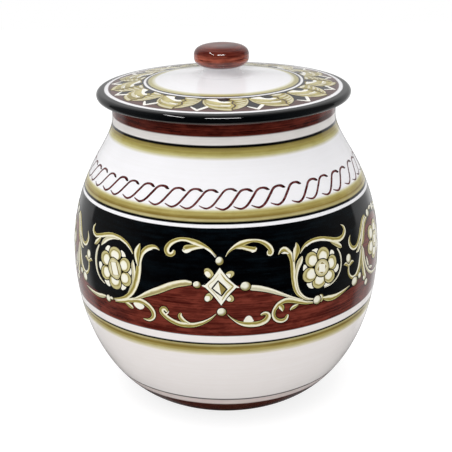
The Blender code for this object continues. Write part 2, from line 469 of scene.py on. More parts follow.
def smooth_run(points, closed=False):
    """Points about STEP apart on a smooth curve through these, with their widths if given."""
    points = [Vector(point) for point in points]
    count = len(points)
    run = []
    for index in range(count if closed else count - 1):
        if closed:
            p0, p1, p2, p3 = (points[(index + k) % count] for k in (-1, 0, 1, 2))
        else:
            p0, p1, p2, p3 = (points[min(max(index + k, 0), count - 1)] for k in (-1, 0, 1, 2))
        steps = max(2, round((p2.xy - p1.xy).length / STEP))
        for step in range(steps):
            t = step / steps
            run.append(0.5 * (2 * p1 + (p2 - p0) * t + (2 * p0 - 5 * p1 + 4 * p2 - p3) * t * t
                              + (3 * p1 - p0 - 3 * p2 + p3) * t ** 3))
    return run if closed else run + [points[-1]]


def rounded_ends(run):
    """The run with half-round tips added where it is still wide."""
    tips = []
    for end, inner in ((run[0], run[1]), (run[-1], run[-2])):
        outwards = (end.xy - inner.xy).normalized() * end.z / 2
        tips.append([Vector((*(end.xy + outwards * share), end.z * math.sqrt(1.0 - share * share)))
                     for share in TIP_SHARES if end.z > BLUNT])
    return tips[0][::-1] + run + tips[1]


class Brushwork:
    """Strokes of thick colour on a glazed surface: one piece, each stroke a closed slab. Each
    point keeps a mark for the paint: two numbers that say where it is in its stroke, and how
    pale the stroke is."""

    def __init__(self, surface):
        self.surface = surface
        self.points, self.faces, self.marks, self.spots = [], [], [], []
        self.strokes = 0

    def point(self, spot, lift, mark, cell_spot=(0.5, 0.5)):
        self.points.append(self.surface(spot.x, spot.y, lift))
        self.marks.append(mark)
        self.spots.append((self.strokes, *cell_spot))
        return len(self.points) - 1

    def stroke(self, points, lift, light=1, pale=0.0, wider=0.0):
        """A brush stroke through points (across, up, width), lit on its left if light is 1."""
        run = rounded_ends(smooth_run(points))
        rows = []
        for index, here in enumerate(run):
            along = (run[min(index + 1, len(run) - 1)].xy - run[max(index - 1, 0)].xy).normalized()
            aside = Vector((-along.y, along.x)) * (here.z / 2 + wider)
            share = index / (len(run) - 1)
            row = []
            for side, high in ((1, lift), (0, lift + CROWN), (-1, lift), (-1, SINK), (1, SINK)):
                mark = (side * light, share, pale)
                row.append(self.point(here.xy + aside * side, high, mark, (share, 0.5 + 0.5 * side)))
            rows.append(row)
        for row, after in zip(rows, rows[1:]):
            self.join(row, after)
        self.faces += [rows[0][::-1], rows[-1]]
        self.strokes += 1

    def patch(self, outline, lift, light=(0.0, 0.0), pale=0.0, wider=0.0, rings=3):
        """A dab of colour inside an outline that its middle can see all of. Light is where its
        bright spot lies, as a share of the way to the edge."""
        outline = [Vector(point).xy for point in outline]
        middle = sum(outline, Vector((0.0, 0.0))) / len(outline)
        outs = [point - middle for point in outline]
        reach = max(out.length for out in outs)
        centre_mark = (0.0, Vector(light).length, pale)
        before = [self.point(middle, lift + CROWN, centre_mark)] * len(outs)
        for ring in range(1, rings + 1):
            share = ring / rings
            row = []
            for out in outs:
                spot = middle + out * share + out.normalized() * wider * share
                away = out * share / reach
                mark = (share, (out.normalized() * share - Vector(light)).length, pale)
                cell_spot = (0.5 + CELL_REACH * away.x, 0.5 + CELL_REACH * away.y)
                row.append(self.point(spot, lift + CROWN * (1 - share), mark, cell_spot))
            self.join(before, row)
            before = row
        edge_mark = (1.0, 1.0, pale)
        base = [self.point(middle + out + out.normalized() * wider, SINK, edge_mark) for out in outs]
        self.join(before, base)
        self.join(base, [self.point(middle, SINK, centre_mark)] * len(outs))
        self.strokes += 1

    def join(self, inner, outer):
        """Faces between two rings of points, one of which may be a single point many times."""
        for a, b, c, d in zip(inner, outer, outer[1:] + outer[:1], inner[1:] + inner[:1]):
            self.faces.append(tuple(dict.fromkeys((a, b, c, d))))

    def fired(self, name, material, body, slot):
        """The piece itself, with one cell of the painted map for each stroke."""
        side = math.ceil(math.sqrt(self.strokes))
        uvs = []
        for vertex in (vertex for face in self.faces for vertex in face):
            cell, u, v = self.spots[vertex]
            column, row = cell % side, cell // side
            uvs.append(((column + inset(u, CELL_MARGIN)) / side, (row + inset(v, CELL_MARGIN)) / side))
        mesh = meshed(name, self.points, self.faces, uvs)
        marks = mesh.attributes.new("brush", "FLOAT_VECTOR", "POINT")
        marks.data.foreach_set("vector", [number for mark in self.marks for number in mark])
        shape = bmesh.new()
        shape.from_mesh(mesh)
        bmesh.ops.recalc_face_normals(shape, faces=shape.faces)
        shape.to_mesh(mesh)
        shape.free()
        mesh.shade_smooth()
        mesh.set_sharp_from_angle(angle=SHARP_ANGLE)
        mesh.materials.append(material)
        piece = placed(name, mesh)
        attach(piece, body)


def brushed(name):
    """A glaze for brushwork: its material, a place on it, and the parts of the brush's mark."""
    material, place = glaze(name)
    mark = place.node("ShaderNodeAttribute", output="Vector", attribute_name="brush")
    return material, place, mark.parts()


rope = Brushwork(on_pot)
gap = (ROUND + ROPE_FRONT[0] - ROPE_FRONT[-1]) / (ROPE_BACK + 1)
rope_starts = list(ROPE_FRONT)
for number in range(ROPE_BACK):
    sway = hand_sway.uniform(-ROPE_SWAY, ROPE_SWAY)
    rope_starts.append(ROPE_FRONT[-1] + gap * (number + 1) + sway)
for start in rope_starts:
    drop = hand_sway.uniform(-ROPE_DROP, ROPE_DROP)
    weight = hand_sway.uniform(*ROPE_WEIGHTS)
    if HEAVY_ROPE[0] < start < HEAVY_ROPE[1]:
        weight += HEAVY_ROPE[2]
    rope.stroke([(start + x, z + drop, w * weight) for x, z, w in ROPE_STROKE], ROPE_LIFT)
rope_red, place, (_, along, _) = brushed("manganese_red")
dry = place.noise(400.0).rise(0.35, 0.7).over(*ROPE_RED)
along.rise(0.80, 0.90).over(dry, ROPE_TAIL).feed()
rope.fired("rope_strokes", rope_red, "jar", "body_glaze")


# The ornament on the belt: scrolls, beads and lozenges in olive and cream, each laid over a
# dark line that is left showing round it, and picked out in white while the paint is wet.
line, scroll, dab = Brushwork(on_pot), Brushwork(on_pot), Brushwork(on_pot)
LINE_WIDTH = 0.5
UNDER = 0.6
# Levels of paint over the glaze. From TOP_LEVEL up, strokes lie on others without a dark line.
TIP_LEVEL, LOBE_LEVEL, BEAD_LEVEL, PALE_BEAD_LEVEL, TOP_LEVEL = 1.5, 1.8, 2, 3, 5
LOZENGE_LEVEL, EYE_LEVEL, EYE_FACET_LEVEL = 4, 5.4, 6
PETAL_LEVELS, BUTTON_LEVEL, FACET_LEVEL, WHITE_HIGHER = (3.0, 3.8), 5, 5.6, 0.5
# Where a dab is lit: in its middle, or from so far off that it is all in shade.
NO_LIGHT, SHADED = (0.0, 0.0), (9.0, 9.0)
BEAD_LIGHT = (-0.2, 0.2)
OVAL_STEPS, SIDE_STEPS = 26, 9

# Strokes: level over the glaze, lit side (1 left, -1 right), how pale, then points round, up and
# width in tenths of a mm, drawn on the jar's front. Outlines are in tenths too, and beads, petals
# and corners in mm: round, up, half width, half height, and a petal's lean in degrees.
LOZENGE_STROKES = (
    (2, 1, 0, ((-58, 1264, 3), (-85, 1292, 9), (-115, 1312, 18), (-155, 1329, 28), (-195, 1342, 30),
        (-240, 1352, 22), (-285, 1351, 22), (-325, 1336, 26), (-354, 1312, 30), (-366, 1286, 33),
        (-356, 1264, 28), (-336, 1259, 25), (-322, 1269, 26), (-319, 1277, 22))),
    (2, 1, 0, ((-3, 1262, 3), (15, 1289, 10), (45, 1312, 20), (85, 1330, 32), (125, 1342, 26),
        (165, 1346, 17), (205, 1340, 19), (240, 1324, 26), (267, 1298, 31), (276, 1274, 27),
        (266, 1259, 20), (253, 1264, 18), (253, 1276, 12))),
    (2, -1, 0, ((-64, 910, 4), (-95, 880, 13), (-135, 855, 20), (-180, 836, 27), (-230, 828, 31),
        (-280, 830, 31), (-330, 845, 29), (-370, 870, 29), (-396, 898, 28), (-389, 918, 27),
        (-372, 920, 26), (-362, 909, 20))),
    (2, -1, 0, ((3, 906, 3), (30, 878, 8), (65, 853, 18), (105, 838, 30), (150, 833, 34), (195, 836, 34),
        (230, 853, 35), (244, 878, 32), (236, 896, 24), (218, 900, 20), (204, 894, 14))),
    (2, -1, 0, ((540, 913, 12), (490, 923, 20), (440, 940, 26), (390, 959, 32), (345, 964, 30),
        (305, 946, 26), (280, 912, 22), (276, 878, 22), (293, 848, 24), (325, 834, 26), (354, 842, 24),
        (363, 862, 18))),
    (2, 1, 0, ((-740, 889, 8), (-680, 906, 18), (-625, 924, 26), (-570, 939, 32), (-525, 940, 32),
        (-486, 924, 30), (-456, 894, 28), (-450, 860, 26), (-466, 836, 22), (-490, 824, 17),
        (-524, 826, 5))),
    (2, -1, 0.12, ((-216, 1100, 26), (-250, 1098, 37), (-300, 1086, 39), (-350, 1066, 41),
        (-400, 1040, 41), (-450, 1016, 38), (-500, 990, 30), (-550, 961, 18), (-595, 942, 4))),
    (2, 1, 0.5, ((150, 1070, 33), (190, 1063, 33), (240, 1048, 29), (290, 1027, 24), (340, 1003, 18),
        (400, 974, 12), (465, 947, 4))),
    (1.7, 1, 0, ((-130, 1316, 12), (-170, 1315, 24), (-210, 1309, 34), (-239, 1300, 46))),
    (1.7, -1, 0, ((50, 1312, 10), (95, 1313, 22), (135, 1303, 26), (166, 1295, 30), (174, 1298, 24))),
    (1.7, -1, 0, ((-160, 832, 8), (-205, 832, 16), (-244, 844, 24), (-268, 863, 28), (-280, 884, 27),
        (-276, 898, 16))),
    (1.7, -1, 0, ((306, 944, 8), (322, 930, 32), (330, 914, 26), (333, 898, 6))),
    (1.7, -1, 0, ((434, 924, 6), (408, 914, 24), (388, 904, 16), (382, 896, 5))),
    (1.7, 1, 0, ((-664, 908, 6), (-634, 898, 24), (-608, 886, 26), (-596, 879, 8))),
    (5, -1, 0, ((-34, 1164, 5), (-6, 1122, 15), (32, 1086, 17))),
    (5, -1, 0, ((32, 1082, 16), (-6, 1042, 15), (-28, 1000, 6))),
    (5, -1, 0.35, ((-46, 1160, 4), (-74, 1124, 8), (-108, 1088, 9), (-76, 1048, 8), (-42, 1002, 4))),
    (5, 1, 1, ((-126, 1086, 15), (-144, 1089, 3))),
    (5, 1, 1, ((50, 1084, 16), (72, 1077, 3))),
    (5, 1, 1, ((-366, 884, 9), (-354, 897, 6), (-349, 906, 3))),
    (5, 1, 1, ((-64, 1259, 4), (-94, 1290, 7), (-126, 1308, 5))),
)
LOZENGE_BEADS = (
    (-4, 123.7, 2.3, 2.4), (-17.4, 109.3, 2.2, 2), (11, 108.2, 3, 2.7), (-3.1, 92.4, 2.6, 2.5),
)
LOZENGE_PETALS = (
    (-10.3, 116.4, 3.4, 2.3, -50), (1.8, 115.6, 2.9, 1.9, 28), (-10.4, 101.8, 3.1, 2.1, 52),
    (1.6, 101.3, 2.8, 2.1, -42),
)
LOZENGE_TIPS = ((-3.9, 119.8), (6.2, 108.3), (-3.3, 96.7), (-13.3, 108.6))
LOZENGE_EYE = ((-4.8, 111.4), (-0.5, 106.9), (-3.2, 103.3), (-7.9, 107.3))
LOZENGE_WAIST, EYE_WAIST = 0.6, 0.2
LOZENGE_LINE, EYE_LINE = 0.6, 1.1
WHITE_LOBES = (
    ((-264, 1297), (-240, 1302), (-206, 1299), (-220, 1284), (-244, 1276), (-262, 1284)),
    ((-590, 916), (-554, 925), (-518, 918), (-516, 899), (-546, 883), (-576, 894)),
    ((96, 852), (102, 872), (114, 889), (129, 893), (142, 885), (150, 868), (156, 854), (126, 846)),
    ((144, 1294), (162, 1299), (178, 1292), (170, 1282), (156, 1279)),
)


def tenths(points):
    return [tuple(number / 10 for number in point) for point in points]


def closed(outline):
    return smooth_run(tenths(outline), closed=True)


def moved(points, shift, mirror=None):
    """Points round the jar, mirrored about a place if one is given, and then moved on."""
    return [(x + shift if mirror is None else 2 * mirror - x + shift, *rest) for x, *rest in points]


def drawn(strokes, shift, mirror=None):
    """Strokes of the ornament, each over a dark line unless it is white or on top."""
    for level, light, pale, points in strokes:
        points = moved(tenths(points), shift, mirror)
        if pale < 1 and level < TOP_LEVEL:
            line.stroke(points, (level - UNDER) * LEVEL, wider=LINE_WIDTH)
        scroll.stroke(points, level * LEVEL, light if mirror is None else -light, pale)


def oval(x, z, wide, tall, lean=0.0, tip=0.0):
    """An oval, leaned over, with both ends of its long axis drawn out to points by tip."""
    turn = math.radians(lean)
    points = []
    for step in range(OVAL_STEPS):
        angle = math.tau * step / OVAL_STEPS
        along = wide * math.cos(angle) * (1.0 + tip * abs(math.cos(angle)) ** 9)
        aside = tall * math.sin(angle)
        points.append((x + along * math.cos(turn) - aside * math.sin(turn),
                       z + along * math.sin(turn) + aside * math.cos(turn)))
    return points


def dabbed(outline, level, light, shift, mirror=None, pale=0.0, edge=LINE_WIDTH):
    """A dab of the ornament over its dark line, which is as wide as edge."""
    outline = moved(outline, shift, mirror)
    if edge:
        line.patch(outline, (level - UNDER) * LEVEL, wider=edge)
    dab.patch(outline, level * LEVEL, light if mirror is None else (-light[0], light[1]), pale)


def whites(outlines, level, shift):
    for outline in outlines:
        dabbed(closed(outline), level, NO_LIGHT, shift, pale=1.0, edge=0.0)


def beads(listed, shift, mirror=None):
    for x, z, wide, tall, pale in listed:
        level = PALE_BEAD_LEVEL if pale else BEAD_LEVEL
        dabbed(oval(x, z, wide, tall), level, BEAD_LIGHT, shift, mirror, pale)


def hollow_sided(corners, waist):
    """The outline between corners whose sides bend in by a waist."""
    middle = sum((Vector(corner) for corner in corners), Vector((0.0, 0.0))) / len(corners)
    outline = []
    for index, corner in enumerate(corners):
        first, last = Vector(corner), Vector(corners[(index + 1) % len(corners)])
        for step in range(SIDE_STEPS):
            t = step / SIDE_STEPS
            point = first.lerp(last, t)
            outline.append(point + (middle - point).normalized() * waist * 4 * t * (1 - t))
    return outline


def lozenge(shift):
    drawn(LOZENGE_STROKES, shift)
    for x, z, wide, tall in LOZENGE_BEADS:
        dabbed(oval(x, z, wide, tall), PALE_BEAD_LEVEL, (-0.35, 0.35), shift, pale=0.75)
    for x, z, wide, tall, lean in LOZENGE_PETALS:
        dabbed(oval(x, z, wide, tall, lean), BEAD_LEVEL, (-0.35, -0.3), shift, pale=0.1)
    diamond = hollow_sided(LOZENGE_TIPS, LOZENGE_WAIST)
    dabbed(diamond, LOZENGE_LEVEL, NO_LIGHT, shift, pale=1.0, edge=LOZENGE_LINE)
    top, right, bottom, left = LOZENGE_EYE
    middle = Vector(top).lerp(Vector(bottom), 0.5)
    line.patch(moved(hollow_sided(LOZENGE_EYE, EYE_WAIST), shift), EYE_LEVEL * LEVEL, wider=EYE_LINE)
    for white, side, light in ((1.0, left, NO_LIGHT), (0.0, right, SHADED)):
        facet = hollow_sided((top, middle, bottom, side) if white else (top, side, bottom, middle), 0.0)
        dabbed(facet, EYE_FACET_LEVEL, light, shift, pale=white, edge=0.0)
    whites(WHITE_LOBES, LOBE_LEVEL, shift)


for centre in HILLS:
    lozenge(centre - HILLS[0])


# The rosettes: six petals round a button, held in a vine that springs from the end of the
# lozenge's scrolls and arches over them. The right and the left hand are drawn unlike.
RIGHT_ROSETTES = (60.6, 304.1, 423.5)
RIGHT_BUTTON = (60.6, 112.0, 5.3, 5.3, 0.0, 0.0)
RIGHT_PETALS = (
    (53.4, 118.7, 4.2, 4.3), (62.3, 119.9, 4.5, 4.2), (69, 113.5, 3.4, 4.4), (66.3, 105.2, 4, 3.9),
    (58.1, 103.9, 4.7, 4.1), (51.3, 109.5, 4.6, 4.3),
)
RIGHT_TIPS = (
    ((542, 1236), (566, 1244), (588, 1239), (576, 1214), (566, 1206)),
    ((470, 1134), (479, 1166), (496, 1154), (500, 1134), (482, 1122)),
    ((702, 1086), (736, 1112), (742, 1086), (722, 1064), (700, 1072)),
    ((492, 1044), (518, 1052), (538, 1030), (536, 1006), (508, 1016)),
    ((614, 1016), (638, 1026), (666, 1014), (656, 995), (624, 991)),
    ((676, 1186), (688, 1210), (706, 1204), (714, 1184), (696, 1176)),
)
RIGHT_VINE = (
    (2, -1, 0, ((475, 948, 5), (427, 996, 19), (409, 1050, 26), (403, 1105, 28), (403, 1160, 30),
        (402, 1205, 32), (389, 1246, 32), (362, 1276, 30), (336, 1274, 20), (317, 1252, 4))),
    (1.7, -1, 0.3, ((538, 935, 9), (496, 946, 17), (462, 972, 18), (436, 1010, 17), (424, 1055, 17),
        (422, 1100, 18), (431, 1145, 24), (449, 1182, 33), (462, 1202, 26), (472, 1219, 4))),
    (4, 1, 0, ((414, 1194, 7), (424, 1224, 28), (436, 1256, 45), (442, 1280, 30), (439, 1304, 5))),
    (2, -1, 0, ((457, 1238, 8), (482, 1266, 15), (515, 1286, 21), (555, 1295, 23), (600, 1297, 23),
        (645, 1290, 23), (690, 1275, 27), (735, 1260, 31), (780, 1256, 29), (815, 1267, 27),
        (836, 1293, 24), (832, 1318, 15), (812, 1334, 3))),
    (1.7, 1, 0.1, ((694, 1260, 8), (725, 1244, 24), (752, 1228, 30), (773, 1213, 26), (786, 1204, 6))),
    (2, 1, 0.55, ((744, 1206, 8), (763, 1170, 11), (769, 1130, 10), (764, 1090, 9), (749, 1055, 9),
        (724, 1026, 9), (692, 1006, 8), (658, 994, 6), (620, 990, 3))),
    (2, 1, 0, ((614, 923, 14), (645, 913, 34), (685, 906, 37), (730, 908, 29), (780, 917, 19),
        (845, 934, 4))),
    (4, 1, 1, ((506, 1270, 4), (546, 1287, 9), (600, 1289, 10), (650, 1279, 9), (694, 1263, 4))),
    (4, 1, 1, ((382, 1249, 5), (358, 1257, 11), (336, 1256, 3))),
)
RIGHT_BEADS = ((59.4, 92.8, 1.9, 2.6, 0), (56.7, 92.3, 2.7, 2.8, 0.85))
LEFT_ROSETTES = (-74.0, 184.7)
LEFT_BUTTON = (-73.8, 110.3, 6.1, 5.5, 114.0, 0.12)
LEFT_PETALS = (
    (-74.3, 119.6, 5.1, 3.9), (-82.6, 114.8, 4.3, 4.3), (-82, 105.6, 4.4, 4.3), (-73.3, 101.7, 4.9, 4.3),
    (-64.4, 105.8, 4, 4.2), (-65.4, 114.6, 4, 4.2),
)
LEFT_TIPS = (
    ((-836, 1204), (-816, 1229), (-794, 1228), (-794, 1202), (-816, 1192)),
    ((-694, 1228), (-668, 1220), (-652, 1196), (-680, 1192), (-696, 1204)),
    ((-890, 1106), (-864, 1108), (-856, 1076), (-868, 1056), (-888, 1076)),
    ((-624, 1116), (-607, 1136), (-601, 1104), (-610, 1089), (-626, 1098)),
    ((-686, 1014), (-662, 1022), (-642, 1008), (-656, 988), (-680, 982)),
    ((-832, 1004), (-802, 1014), (-776, 1000), (-786, 974), (-816, 982)),
)
LEFT_VINE = (
    (2, -1, 0, ((-755, 901, 8), (-700, 915, 19), (-650, 938, 27), (-608, 975, 32), (-579, 1020, 37),
        (-560, 1075, 40), (-550, 1135, 38), (-546, 1190, 31), (-532, 1235, 29), (-506, 1271, 28),
        (-470, 1288, 25), (-436, 1289, 17), (-412, 1276, 3))),
    (1.7, -1, 0.35, ((-630, 970, 5), (-608, 1005, 16), (-592, 1045, 22), (-584, 1090, 25),
        (-587, 1135, 26), (-593, 1165, 22), (-594, 1189, 4))),
    (4, 1, 0, ((-554, 1160, 6), (-563, 1200, 30), (-567, 1240, 43), (-560, 1270, 30), (-552, 1295, 4))),
    (2, 1, 0, ((-598, 1226, 7), (-623, 1256, 16), (-660, 1280, 20), (-705, 1296, 22), (-755, 1302, 22),
        (-810, 1298, 24), (-865, 1282, 27), (-915, 1266, 24), (-955, 1258, 23), (-988, 1272, 23),
        (-996, 1298, 18), (-979, 1323, 3))),
    (1.7, -1, 0.4, ((-878, 1220, 10), (-855, 1246, 28), (-820, 1270, 24), (-770, 1285, 13),
        (-720, 1286, 3))),
    (1.7, -1, 0.1, ((-894, 1258, 8), (-918, 1236, 26), (-940, 1217, 28), (-957, 1202, 5))),
    (2, -1, 0.5, ((-906, 1206, 12), (-924, 1160, 19), (-928, 1110, 20), (-918, 1060, 18),
        (-896, 1020, 14), (-864, 994, 10), (-830, 980, 4))),
    (2, -1, 0.3, ((-828, 897, 10), (-860, 888, 25), (-905, 879, 27), (-955, 877, 22), (-1010, 880, 15),
        (-1070, 888, 4))),
    (4, 1, 1, ((-516, 1238, 4), (-494, 1262, 9), (-460, 1276, 4))),
)
LEFT_BEADS = ((-77.2, 89.9, 1.7, 1, 0.9), (-80.4, 89, 2, 2.2, 0.7))
# What is painted on each button, across and up from its middle, and whether it is white.
RIGHT_FACETS = ((0.0, ((0.2, 3.6), (3.6, 0.2), (-0.2, -3.7), (-3.6, -0.2))),
                (1.0, ((-1.8, 2.6), (2.5, 1.7), (2.0, -2.8), (-2.4, -2.0))))
LEFT_FACETS = ((0.0, ((-4.2, 3.2), (1.6, 4.4), (4.4, -3.2), (-1.6, -4.4))),
               (1.0, ((-3.3, 3.2), (0.7, 4.0), (3.4, -3.2), (-0.9, -4.0))))
PETAL_LINE = 0.62
PETAL_GROWTH = 1.03
PETAL_GLINT = 0.26
FACET_BULGE = -0.15


def flower(button, petals, facets, shift, stretch=1.0):
    """Petals round a button with its facets. Stretch widens the flower, for a medallion's."""
    middle, up, *shape = button
    for number, (x, z, wide, tall) in enumerate(petals):
        light = Vector((middle - x, up - z)).normalized() * PETAL_GLINT
        petal = oval(middle + (x - middle) * stretch, z, wide * stretch * PETAL_GROWTH, tall * PETAL_GROWTH)
        dabbed(petal, PETAL_LEVELS[number % 2], light, shift, edge=PETAL_LINE)
    shape[0] *= stretch
    dabbed(oval(middle, up, *shape), BUTTON_LEVEL, NO_LIGHT, shift, pale=0.5, edge=PETAL_LINE)
    for white, corners in facets:
        facet = hollow_sided([(middle + stretch * x, up + z) for x, z in corners], FACET_BULGE)
        dabbed(facet, FACET_LEVEL + WHITE_HIGHER * white, SHADED, shift, pale=white, edge=0.0)


for centres, vine, tips, blossom, small_beads in (
    (RIGHT_ROSETTES, RIGHT_VINE, RIGHT_TIPS, (RIGHT_BUTTON, RIGHT_PETALS, RIGHT_FACETS), RIGHT_BEADS),
    (LEFT_ROSETTES, LEFT_VINE, LEFT_TIPS, (LEFT_BUTTON, LEFT_PETALS, LEFT_FACETS), LEFT_BEADS),
):
    for centre in centres:
        drawn(vine, centre - centres[0])
        whites(tips, TIP_LEVEL, centre - centres[0])
        flower(*blossom, centre - centres[0])
        beads(small_beads, centre - centres[0])


# The medallions at the sides: a rosette on its own maroon ground, in a frame of acanthus that
# is drawn alike on both hands. Only one half of each can be seen from the front.
MEDALLION_STROKES = (
    (2, 1, 0, ((843, 1080, 8), (835, 1050, 15), (838, 1020, 16), (854, 995, 18), (882, 978, 24),
        (914, 978, 32), (941, 998, 35), (963, 1032, 37), (978, 1075, 33), (988, 1115, 24), (997, 1142, 8))),
    (3, 1, 0, ((999, 1136, 8), (999, 1090, 24), (1002, 1040, 33), (1012, 995, 36), (1026, 954, 37),
        (1036, 932, 36))),
    (2, -1, 0, ((885, 1252, 3), (869, 1228, 16), (867, 1203, 23), (882, 1176, 25), (910, 1162, 25),
        (942, 1167, 23), (970, 1187, 24), (1002, 1218, 34), (1032, 1254, 34), (1064, 1285, 30),
        (1100, 1304, 22), (1124, 1306, 8))),
    (3, -1, 0.3, ((930, 1129, 7), (953, 1135, 21), (974, 1154, 27), (987, 1176, 16))),
    (3, 1, 0, ((999, 1150, 10), (1022, 1176, 40), (1042, 1212, 40), (1068, 1248, 28), (1096, 1273, 25),
        (1132, 1287, 20), (1146, 1287, 8))),
    (3, 1, 0.3, ((1006, 1148, 7), (1019, 1115, 18), (1025, 1075, 19), (1037, 1032, 19), (1059, 989, 19),
        (1091, 953, 19), (1133, 926, 19), (1185, 907, 17), (1250, 900, 16))),
    (2, 1, 0, ((846, 1068, 9), (862, 1080, 22), (878, 1086, 18), (894, 1079, 3))),
    (2, -1, 0, ((839, 1066, 9), (824, 1082, 22), (808, 1090, 18), (792, 1086, 3))),
    (3, 1, 0.6, ((1061, 1058, 5), (1072, 1030, 17), (1084, 1003, 18), (1097, 984, 6))),
    (3, 1, 0.6, ((1099, 973, 5), (1122, 964, 17), (1148, 958, 18), (1172, 954, 5))),
    (3, 1, 0.4, ((1214, 1322, 6), (1236, 1322, 18), (1250, 1322, 22))),
)
MEDALLION_DABS = (
    (84.2, 111.5, 2.3, 2.9, 0.6), (90.3, 94.6, 3.1, 2.9, 0.75), (96.3, 96.4, 1.8, 2, 0.8),
    (103.5, 93, 2.4, 2.3, 0.6), (106.5, 88.4, 2.3, 2.1, 0.85), (118.2, 130.6, 2.8, 2.3, 0.6),
)
MEDALLION_BUTTON = (MEDALLIONS[0], 111.4, 5.3, 5.1, 0.0, 0.0)
MEDALLION_PETALS_DOWN = 0.6
MEDALLION_STRETCH = 1.12

medallion_petals = []
for x, z, wide, tall in RIGHT_PETALS:
    medallion_petals.append((x + MEDALLIONS[0] - RIGHT_ROSETTES[0], z - MEDALLION_PETALS_DOWN, wide, tall))
for centre in MEDALLIONS:
    shift = centre - MEDALLIONS[0]
    for mirror in (None, MEDALLIONS[0]):
        drawn(MEDALLION_STROKES, shift, mirror)
        beads(MEDALLION_DABS, shift, mirror)
    flower(MEDALLION_BUTTON, medallion_petals, RIGHT_FACETS, shift, MEDALLION_STRETCH)

CREAM = (246, 243, 228)
LINE_BLACK = ((12, 7, 6), (34, 18, 14))
# From the middle of a dab to its edge, and of a bead from its lit side to its shaded one.
TAN, BEAD = ((228, 222, 190), (190, 180, 128)), ((240, 238, 220), (142, 131, 78))
WANDER = 0.3
# Across a stroke, from its shaded edge at -1 to its lit one at 1.
STROKE_SHADES = (
    (-1.15, (196, 188, 134)), (-0.8, (186, 176, 112)), (-0.5, (136, 120, 54)), (-0.15, (156, 142, 72)),
    (0.12, (206, 196, 142)), (0.34, (240, 235, 212)), (0.8, (240, 236, 214)), (1.1, (192, 184, 128)),
)
# From a petal's bright spot outwards, then the brown of a shaded facet.
PETAL_SHADES = (
    (0, (248, 246, 236)), (0.54, (245, 242, 225)), (0.67, (230, 224, 186)), (0.76, (150, 137, 76)),
    (0.84, (160, 147, 86)), (0.95, (196, 187, 134)), (1.8, (184, 173, 116)), (2.2, (144, 128, 70)),
)

line_black, place, _ = brushed("dark_line")
smear = place.noise(500.0).rise(0.45, 0.8)
smear.over(*LINE_BLACK).feed()
line.fired("ornament_lines", line_black, "jar", "body_glaze")

scroll_paint, place, (aside, _, pale) = brushed("olive_and_cream")
shaded = (aside + 0.7 * (place.noise(260.0) - 0.5)).ramp(STROKE_SHADES, -1.4, 1.4)
pale.over(shaded, CREAM).feed()
scroll.fired("ornament_scrolls", scroll_paint, "jar", "body_glaze")

dab_paint, place, (out, from_light, pale) = brushed("petal_paint")
wander = WANDER * (place.noise(320.0) - 0.5)
from_light = from_light + wander
petal = from_light.ramp(PETAL_SHADES, 0.0, 2.4)
tan = out.rise(0.55, 1.0).over(*TAN)
bead = (from_light + wander).rise(0.55, 1.25).over(*BEAD)
shaded = pale.rise(0.55, 0.58).over(pale.rise(0.3, 0.4).over(petal, tan), bead)
pale.rise(0.9, 0.95).over(shaded, CREAM).feed()
dab.fired("ornament_dabs", dab_paint, "jar", "body_glaze")


# The lid is a shallow cone with a rolled edge, and a collar under it that drops into the
# mouth. Rings and roll are banded on the wheel; its underside keeps the plain white glaze.
LID_LOW, LID_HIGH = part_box("lid")
LID_RADIUS = LID_HIGH.x - PAINT_ROOM
SEAT_HEIGHT = RIM_HEIGHT + 0.3 * MM
LID_EDGE_RADIUS = 2.8 * MM
LID_SLOPE = math.radians(7.3)
LID_THICKNESS = 5.0 * MM
COLLAR_OUTER = mouth_radius - 1.5 * MM
COLLAR_INNER = COLLAR_OUTER - 4.4 * MM
COLLAR_ROUNDING = 1.2 * MM
CROWN_RADIUS = 18.2 * MM
LID_STEPS = 40
LID_GLOSS = 0.05
LID_WAVER = 0.9
CHARCOAL = ((9, 9, 11), (28, 28, 30))
MAUVE = ((72, 42, 38), (108, 76, 70))
LID_BANDS = (
    (0.0, 43.6, WHITE, 0.3),
    (43.6, 45.6, ((212, 209, 178), (230, 227, 206)), 0.9),
    (45.6, 48.6, ((168, 159, 104), (198, 191, 144)), 0.7),
    (48.6, 49.6, CHARCOAL, 0.15),
    (49.6, 51.1, WHITE, 0.12),
    (51.1, 52.2, CHARCOAL, 0.15),
    (52.2, 67.0, CHARCOAL, 0.3),
    (67.0, 74.3, MAUVE, 0.3),
    (74.3, 76.6, WHITE, 0.12),
    (76.6, 90.0, ((3, 4, 5), (13, 16, 18)), 0.12),
)
LID_RANGE = (0.0, 90.0)

edge_centre = Vector((LID_RADIUS - LID_EDGE_RADIUS, SEAT_HEIGHT + LID_EDGE_RADIUS))
tangent = edge_centre + LID_EDGE_RADIUS * Vector((math.sin(LID_SLOPE), math.cos(LID_SLOPE)))


def lid_top(radius):
    return tangent.y + (tangent.x - radius) * math.tan(LID_SLOPE)


crown_height = lid_top(CROWN_RADIUS)
lid_upper = [(0.0, crown_height)]
for step in range(LID_STEPS + 1):
    radius = CROWN_RADIUS + (tangent.x - CROWN_RADIUS) * step / LID_STEPS
    lid_upper.append((radius, lid_top(radius)))
roll = arc(edge_centre, LID_EDGE_RADIUS, 90 - math.degrees(LID_SLOPE), -90, 22)
turn_height = LID_LOW.z + COLLAR_ROUNDING
lid_under = [roll[-1], (COLLAR_OUTER, SEAT_HEIGHT)]
lid_under += arc((COLLAR_OUTER - COLLAR_ROUNDING, turn_height), COLLAR_ROUNDING, 0, -90, 5)
lid_under += arc((COLLAR_INNER + COLLAR_ROUNDING, turn_height), COLLAR_ROUNDING, -90, -180, 5)
lid_under += [
    (COLLAR_INNER, lid_top(COLLAR_INNER) - LID_THICKNESS),
    (CROWN_RADIUS, crown_height - LID_THICKNESS),
    (0.0, crown_height - LID_THICKNESS),
]
